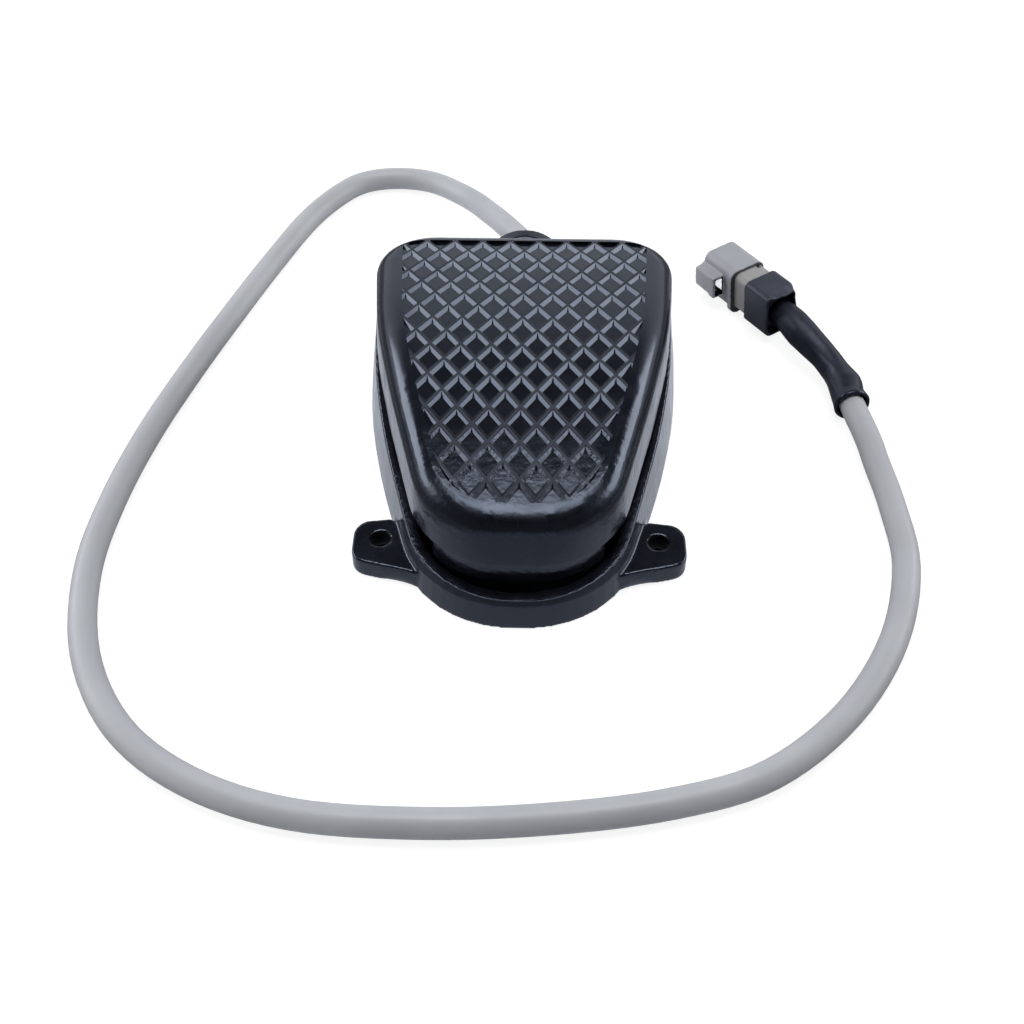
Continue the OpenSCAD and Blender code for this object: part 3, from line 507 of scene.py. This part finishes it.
def relax(mesh, weight, rounds, axes=(0, 1, 2)):
    """Laplacian smoothing where weight is above 0, which rounds edges and fills corners."""
    co = read_points(mesh)
    pairs = read(mesh.edges, "vertices", 2, np.int64)
    near = weight > 0.001
    pairs = pairs[near[pairs[:, 0]] | near[pairs[:, 1]]]
    a = np.concatenate([pairs[:, 0], pairs[:, 1]])
    b = np.concatenate([pairs[:, 1], pairs[:, 0]])
    keep = near[a]
    a, b = a[keep], b[keep]
    count = np.maximum(np.bincount(a, minlength=len(co)), 1)
    pull = 0.5 * weight[near]
    for _ in range(rounds):
        for k in axes:
            mean = np.bincount(a, co[b, k], len(co)) / count
            co[near, k] += pull * (mean[near] - co[near, k])
    write_points(mesh, co)


def flatten(obj, node, where):
    """Puts the points of a worn top face back on the CAD node's face, where it says."""
    source = NODES[node].data
    tree = BVHTree.FromPolygons([v.co for v in source.vertices],
                                [f.vertices for f in source.polygons])
    co = read_points(obj.data)
    for i in np.nonzero(where(co))[0]:
        place, normal = tree.find_nearest(Vector(co[i]))[:2]
        if normal.z > 0.7:
            co[i] = place
    write_points(obj.data, co)


def recast(name, node, body, voxel, smooth, slot, materials):
    """A finer copy of a CAD node with its edges rounded, standing in for it."""
    obj = copied(name, node)
    remesh = obj.modifiers.new("voxels", "REMESH")
    remesh.mode = "VOXEL"
    remesh.voxel_size = voxel
    remesh.use_smooth_shade = True
    soft = obj.modifiers.new("soft", "SMOOTH")
    soft.factor = 0.5
    soft.iterations = smooth
    apply_modifiers(obj)
    obj.data.materials.append(materials[slot])
    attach(obj, body)
    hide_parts(node)
    return obj


def crisp(name, node, body, slot, materials):
    """A CAD node's own facets, shaded smooth but for its edges, standing in for it."""
    obj = copied(name, node)
    mesh = obj.data
    bm = bmesh.new()
    bm.from_mesh(mesh)
    bmesh.ops.remove_doubles(bm, verts=bm.verts, dist=WELD)
    bmesh.ops.dissolve_limit(bm, angle_limit=math.radians(FLAT_ANGLE), verts=bm.verts,
                             edges=bm.edges)
    bm.to_mesh(mesh)
    bm.free()
    for kept in ("custom_normal", "sharp_face", "sharp_edge"):
        if kept in mesh.attributes:
            mesh.attributes.remove(mesh.attributes[kept])
    for face in mesh.polygons:
        face.use_smooth = True
    mesh.set_sharp_from_angle(angle=math.radians(EDGE_ANGLE))
    mesh.materials.append(materials[slot])
    if body:
        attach(obj, body)
    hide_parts(node)
    return obj


def place_on(path, total, s):
    """The point at distance s along the path, and its direction, eased between stretches."""
    last = len(path) - 2
    if s <= 0:
        ahead = (path[1] - path[0]).normalized()
        return path[0] + ahead * s, ahead
    i = next(k for k in range(last + 1) if s <= total[k + 1] or k == last)
    here = (path[i + 1] - path[i]).normalized()
    point = path[i] + here * (s - total[i])
    if i in (0, last):
        return point, here
    behind = (path[i] - path[i - 1]).normalized()
    ahead = (path[i + 2] - path[i + 1]).normalized()
    t = (s - total[i]) / (total[i + 1] - total[i])
    return point, ((here + behind) * (1 - t) + (here + ahead) * t).normalized()


def sweep(name, path, rings, material):
    """A closed skin through rings round the path: each a distance along it and radii."""
    total = distances(path)
    bm = bmesh.new()
    loops = []
    for s, radii in rings:
        centre, ahead = place_on(path, total, s)
        side = ahead.cross(Vector((0, 0, 1))).normalized()
        up = side.cross(ahead)
        loops.append([
            bm.verts.new(centre + (side * math.cos(a) + up * math.sin(a)) * radius)
            for a, radius in zip(turns(len(radii)), radii)])
    for lower, upper in zip(loops, loops[1:]):
        for k in range(len(lower)):
            after = (k + 1) % len(lower)
            bm.faces.new((lower[k], lower[after], upper[after], upper[k]))
    bm.faces.new(list(reversed(loops[0])))
    bm.faces.new(loops[-1])
    bmesh.ops.recalc_face_normals(bm, faces=bm.faces)
    mesh = bpy.data.meshes.new(name)
    bm.to_mesh(mesh)
    bm.free()
    for face in mesh.polygons:
        face.use_smooth = True
    mesh.materials.append(material)
    return link(bpy.data.objects.new(name, mesh))


# ---- pieces -------------------------------------------------------------------------------

def dress_nodes(materials):
    """Gives each CAD node that stays the material of its slot."""
    slots = {p["node"]: p["material_slot"] for p in frame["record"]["subparts"]}
    for name, obj in NODES.items():
        obj.data.materials.clear()
        obj.data.materials.append(materials[slots[name]])


def make_lead(materials):
    path = smooth_route(LEAD_ROUTE, LEAD_STEPS)
    path.append(path[-1] + (path[-1] - path[-2]).normalized() * LEAD_TUCK)
    curve = bpy.data.curves.new("lead_jacket", "CURVE")
    curve.dimensions = "3D"
    curve.bevel_depth = LEAD_D / 2
    curve.bevel_resolution = 10
    curve.use_fill_caps = True
    spline = curve.splines.new("POLY")
    spline.points.add(len(path) - 1)
    for point, co in zip(spline.points, path):
        point.co = (*co, 1.0)
    spline.use_smooth = True
    curve.materials.append(materials["lead_grey"])
    lead = link(bpy.data.objects.new("lead_jacket", curve))
    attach(lead, "base_body")
    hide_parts("cable")
    return lead, distances(path)[-1]


def sleeve_radius(a, s, knots):
    """The sleeve's radius at angle a and distance s: its widths, dents and folds."""
    r = SLEEVE_D / 2 * float(np.interp(s, knots, SLEEVE_WIDTHS))
    dents = noise.noise(Vector((math.cos(a) * 1.1, math.sin(a) * 1.1, s * 130)))
    folds = 0.012 * math.cos(3 * a + s * 60) * min(1.0, max(0.0, (s - 0.004) / 0.02))
    near_lip = math.exp(-((s - 0.009) / 0.006) ** 2)
    creases = 0.014 * math.cos(6 * a + s * 90) * near_lip
    # the shoulder over the end of the lead's jacket, on the outer side of the bend
    facing = max(0.0, math.cos(a - 0.5)) ** 2
    shoulder = 0.09 * math.exp(-((s - 0.0090) / 0.0030) ** 2)
    hollow = 0.07 * math.exp(-((s - 0.0165) / 0.0040) ** 2)
    return r * (1 + 0.028 * dents * min(1.0, s / 0.006) + folds + creases
                + (shoulder - hollow) * facing)


def make_sleeve(materials):
    """Shrunk sleeve: an open lip round the lead, soft dents, and folds towards the boot."""
    path = smooth_route(SLEEVE_ROUTE, SLEEVE_STEPS)
    total = distances(path)
    rings = [(s, [radius] * SLEEVE_SIDES) for s, radius in SLEEVE_LIP]
    stops = []
    s = SLEEVE_START
    while s < total[-1]:
        stops.append(s)
        s += SLEEVE_RING
    for s in stops + [total[-1]]:
        rings.append((s, [sleeve_radius(a, s, total[::SLEEVE_STEPS])
                          for a in turns(SLEEVE_SIDES)]))
    sleeve = sweep("cable_sleeve", path, rings, materials["sleeve_black"])
    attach(sleeve, "base_body")
    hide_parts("sleeve")
    return sleeve


def make_castings(materials):
    voxel = BASE_VOXEL
    base = recast("base_casting", "base", "base_body", voxel, BASE_ROUNDS, "cast_paint",
                  materials)
    mesh = base.data
    flatten(base, "base", lambda co: (co[:, 2] > RIM_LOW) & (co[:, 1] < RIM_BACK))
    # cast fillets where the ears join the nose
    co = read_points(mesh)
    side = np.abs(co[:, 0])
    corner = np.zeros(len(co))
    for x, y in EAR_CORNERS:
        corner = np.maximum(corner, falloff(np.hypot(side - x, co[:, 1] - y), 0.0030, 0.0070))
    corner *= falloff(co[:, 2], 0.0050, 0.0064)
    relax(mesh, corner, EAR_ROUNDS, (0, 1))
    # painted shade in the ears' bores: near-black paint without shine stands for the dark
    # inside them
    mesh.materials.append(materials["slot_painted_shade"])
    centre = read(mesh.polygons, "center")
    bore = np.hypot(np.abs(centre[:, 0]) - EAR_HOLE[0], centre[:, 1] - EAR_HOLE[1])
    index = ((bore < EAR_HOLE_REACH) & (centre[:, 2] < EAR_TOP)).astype(np.int32)
    mesh.polygons.foreach_set("material_index", index)
    crisp("treadle_casting", "treadle", "treadle_body", "cast_paint", materials)


def make_spring(materials):
    """The return spring, shaded smooth but for its edges, with its placement baked into its
    points.
    """
    spring = crisp("return_coil", "return_spring", None, "spring_steel", materials)
    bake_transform(spring)


def plug_frame():
    """The connector's own frame: u along it to the mating face, v to the latch, w up."""
    turn = Matrix.Identity(3)
    for degrees, axis in PLUG_TURNS:
        turn = turn @ Matrix.Rotation(math.radians(degrees), 3, axis)
    return np.array(turn), np.array(PLUG_PLACE)


def make_boot(materials):
    turn, origin = plug_frame()
    boot = recast("connector_rear_boot", "connector_boot", "base_body", PLUG_VOXEL,
                  BOOT_ROUNDS, "sleeve_black", materials)
    boot.data.materials[0] = materials["boot_black"]
    # the rear lip folds in over the sleeve along its top and far side
    co = (read_points(boot.data) - origin) @ turn
    u, v, w = co.T
    lip = falloff(u, 0.0002, 0.0042)
    wave = np.sin(v * 1100 + w * 500) * 0.00022
    top = falloff(-w, -0.0080, -0.0040) * falloff(v, 0.0010, 0.0060)
    far = falloff(v, -0.0068, -0.0036)
    co[:, 2] -= lip * top * (0.0013 + wave)
    co[:, 1] += lip * far * (0.0011 + wave) * falloff(-w, -0.003, 0.004)
    write_points(boot.data, co @ turn.T + origin)
    relax(boot.data, lip, 6)
    return boot


def make_shell(materials):
    turn, origin = plug_frame()
    shell = recast("receptacle_shell", "connector_shell", "base_body", PLUG_VOXEL,
                   SHELL_ROUNDS, "shell_grey", materials)
    mesh = shell.data
    for name in ("shell_neck", "shell_shade", "slot_painted_shade", "slot_painted_glow"):
        mesh.materials.append(materials[name])
    u, v, w = ((read_points(mesh) - origin) @ turn).T
    bridge = falloff(-v, -0.0086, -0.0074) * falloff(-u, -0.0275, -0.0262)
    relax(mesh, bridge, 80)
    # neck; painted shade on the step behind the collar; in the latch window, painted shade on
    # the walls and a painted glow on its floor
    u, v, w = ((read(mesh.polygons, "center") - origin) @ turn).T / MM
    n_u, n_v = (read(mesh.polygons, "normal") @ turn).T[:2]
    index = np.zeros(len(mesh.polygons), dtype=np.int32)
    index[u < 18.6] = 1
    # painted shade on the step behind the collar
    index[(u > 18.0) & (u < 20.2) & (n_u < -0.25)] = 2
    window = (u > 23.6) & (u < 34) & (v > 7.0) & (v < 10.3) & (w > -2.9) & (w < 4.1)
    # painted shade on the latch window's walls
    index[window] = 3
    # painted glow on the window's floor
    index[window & (v < 7.9) & (n_v > 0.7) & (w > -1.1)] = 4
    mesh.polygons.foreach_set("material_index", index)
    return shell


# ---- stage --------------------------------------------------------------------------------

def paper():
    """White paper: it lights the switch plainly, and camera and paint each see it anew."""
    material = bpy.data.materials.new("floor")
    material.use_nodes = True
    g = Graph(material.node_tree)
    plain = g.add("ShaderNodeBsdfDiffuse")
    plain.inputs["Color"].default_value = (FLOOR_COLOUR, FLOOR_COLOUR, FLOOR_COLOUR, 1)
    place = g.add("ShaderNodeTexCoord")
    # what the camera sees: white paper with a soft shadow, and painted shade, no glow, under
    # the ears' holes
    folded = g.add("ShaderNodeVectorMath", operation="ABSOLUTE")
    g.join(place, "Object", folded, 0)
    hole = g.add("ShaderNodeVectorMath", operation="DISTANCE")
    hole.inputs[1].default_value = (EAR_HOLE[0], abs(EAR_HOLE[1]), 0)
    g.join(folded, 0, hole, 0)
    # painted shade: the glow falls to nothing under the ears' holes
    level = g.remap(hole, "Value", 0.0040, 0.0048, 0.0, FLOOR_GLOW)
    glow = g.add("ShaderNodeEmission")
    g.join(level, 0, glow, "Strength")
    shaded = g.add("ShaderNodeBsdfDiffuse")
    g.join(g.math("MULTIPLY", level, FLOOR_SHADE), 0, shaded, "Color")
    seen = g.add("ShaderNodeAddShader")
    g.join(shaded, 0, seen, 0)
    g.join(glow, 0, seen, 1)
    # painted reflection, what the paint sees: pale paper with painted shade in front of the
    # switch and at its sides
    axes = g.add("ShaderNodeSeparateXYZ")
    g.join(place, "Object", axes, 0)
    # painted reflection, seen only by glossy and transmission rays
    mirrored = g.add("ShaderNodeEmission")
    g.join(g.ramp(g.remap(axes, "Y", *MIRROR_Y), 0, levels(MIRROR_LEVELS, MIRROR_TINT)), 0,
           mirrored, "Color")
    g.join(g.remap(g.math("ABSOLUTE", (axes, "X")), 0, *MIRROR_SIDES, kind="SMOOTHSTEP"), 0,
           mirrored, "Strength")
    ray = g.add("ShaderNodeLightPath")
    glossy = g.math("ADD", (ray, "Is Glossy Ray"), (ray, "Is Transmission Ray"), clamp=True)
    bounced = g.mix(glossy, 0, plain, mirrored)
    g.join(g.mix(ray, "Is Camera Ray", bounced, seen), 0,
           g.add("ShaderNodeOutputMaterial"), 0)
    return material


def make_floor():
    mesh = bpy.data.meshes.new("floor")
    mesh.from_pydata([(x * FLOOR_REACH, y * FLOOR_REACH, 0)
                      for x, y in ((-1, -1), (1, -1), (1, 1), (-1, 1))], [], [(0, 1, 2, 3)])
    mesh.materials.append(paper())
    floor = link(bpy.data.objects.new("floor", mesh))
    floor.location.z = -FLOOR_DROP


def make_world():
    """A studio: pale low walls, a dark band above them, darker in front than behind."""
    world = bpy.data.worlds.new("studio")
    scene.world = world
    world.use_nodes = True
    g = Graph(world.node_tree)
    axes = g.add("ShaderNodeSeparateXYZ")
    g.join(g.add("ShaderNodeTexCoord"), "Generated", axes, 0)
    studio = g.add("ShaderNodeBackground")
    g.join(g.ramp(axes, "Z", levels(ROOM_LEVELS, ROOM_TINT)), 0, studio, "Color")
    g.join(g.remap(axes, "Y", *ROOM_FRONT, kind="SMOOTHSTEP"), 0, studio, "Strength")
    white = g.add("ShaderNodeBackground")
    white.inputs["Color"].default_value = (BACKDROP, BACKDROP, BACKDROP, 1)
    ray = g.add("ShaderNodeLightPath")
    g.join(g.mix(ray, "Is Camera Ray", studio, white), 0, g.add("ShaderNodeOutputWorld"), 0)


def make_lights():
    for name, place, width, height, radiance, mirrored in LAMPS:
        data = bpy.data.lights.new(name, "AREA")
        data.shape = "RECTANGLE"
        data.size, data.size_y = width, height
        data.energy = radiance * math.pi * width * height
        data.color = LAMP_TINT
        lamp = link(bpy.data.objects.new(name, data))
        lamp.location = place
        lamp.rotation_euler = (Vector() - Vector(place)).to_track_quat("-Z", "Y").to_euler()
        lamp.visible_glossy = mirrored


# ---- everything ---------------------------------------------------------------------------

make_camera()
materials = make_materials()
dress_nodes(materials)
lead, lead_length = make_lead(materials)
sleeve = make_sleeve(materials)
make_castings(materials)
make_spring(materials)
boot = make_boot(materials)
shell = make_shell(materials)
make_floor()
make_world()
make_lights()
scene.view_settings.view_transform = "Standard"
